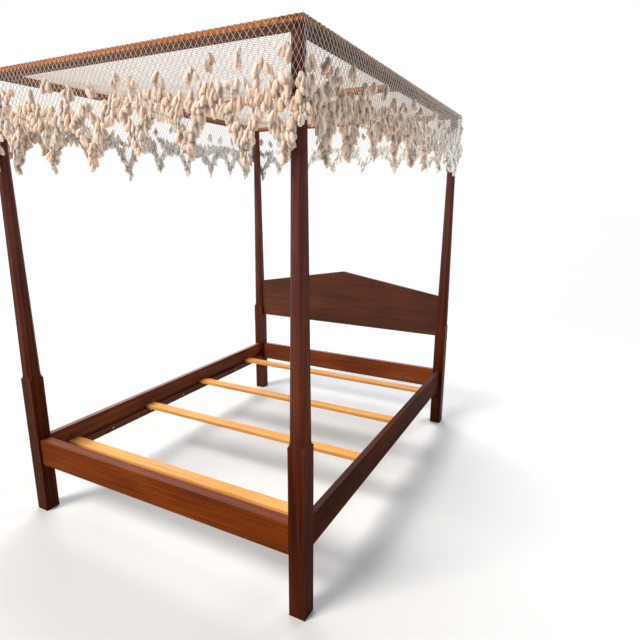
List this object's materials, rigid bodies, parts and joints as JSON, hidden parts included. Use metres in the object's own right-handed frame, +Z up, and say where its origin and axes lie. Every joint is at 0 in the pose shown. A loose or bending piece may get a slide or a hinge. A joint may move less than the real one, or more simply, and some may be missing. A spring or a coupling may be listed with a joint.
{
  "type": "four poster canopy bed",
  "caption": "Queen-size four poster bed with pencil posts, peaked headboard, loose slats and a flat tester frame under a knotted net canopy with a tasselled valance.",
  "frame": {"origin": "on the floor, at the middle of the bed's outer box", "axes": "+X to the bed's right as seen from the foot, +Y from the foot to the head, +Z up"},
  "size_m": [1.698, 2.208, 2.205],
  "materials": {
    "mahogany": "satin red-brown stain and lacquer",
    "tester_wood": "thin amber-brown stain",
    "pine": "planed, bare",
    "steel": "zinc-plated",
    "net_cotton": "hand-knotted cotton yarn",
    "tassel_cotton": "soft cotton tufts"
  },
  "bodies": {
    "bedstead": {"foot_post_left": "mahogany", "foot_post_right": "mahogany", "head_post_left": "mahogany", "head_post_right": "mahogany", "foot_rail": "mahogany", "head_rail": "mahogany", "side_rail_left": "mahogany", "side_rail_right": "mahogany", "ledger_left": "mahogany", "ledger_right": "mahogany", "ledger_screws_left": "steel", "ledger_screws_right": "steel", "headboard_panel": "mahogany", "rail_hook_plates": "steel", "post_slot_plates": "steel", "hook_plate_screws": "steel", "slot_plate_screws": "steel", "tester_pins": "steel"},
    "tester": {"tester_board_left": "tester_wood", "tester_board_right": "tester_wood", "tester_board_foot": "tester_wood", "tester_board_head": "tester_wood", "tester_board_middle": "tester_wood", "tester_lap_screws": "steel", "canopy_net_top": "net_cotton", "valance_net_foot": "net_cotton", "valance_tassels_foot": "tassel_cotton", "valance_net_head": "net_cotton", "valance_tassels_head": "tassel_cotton", "valance_net_left": "net_cotton", "valance_tassels_left": "tassel_cotton", "valance_net_right": "net_cotton", "valance_tassels_right": "tassel_cotton"},
    "slat_1": {"slat_1": "pine"},
    "slat_2": {"slat_2": "pine"},
    "slat_3": {"slat_3": "pine"},
    "slat_4": {"slat_4": "pine"}
  },
  "joints": [
    {"name": "tester_lift", "type": "slide", "parent": "bedstead", "child": "tester", "axis": [0, 0, 1], "range_m": [0, 0.06]},
    {"name": "slat_1_lift", "type": "slide", "parent": "bedstead", "child": "slat_1", "axis": [0, 0, 1], "range_m": [0, 0.15]},
    {"name": "slat_2_lift", "type": "slide", "parent": "bedstead", "child": "slat_2", "axis": [0, 0, 1], "range_m": [0, 0.15]},
    {"name": "slat_3_lift", "type": "slide", "parent": "bedstead", "child": "slat_3", "axis": [0, 0, 1], "range_m": [0, 0.15]},
    {"name": "slat_4_lift", "type": "slide", "parent": "bedstead", "child": "slat_4", "axis": [0, 0, 1], "range_m": [0, 0.15]}
  ]
}
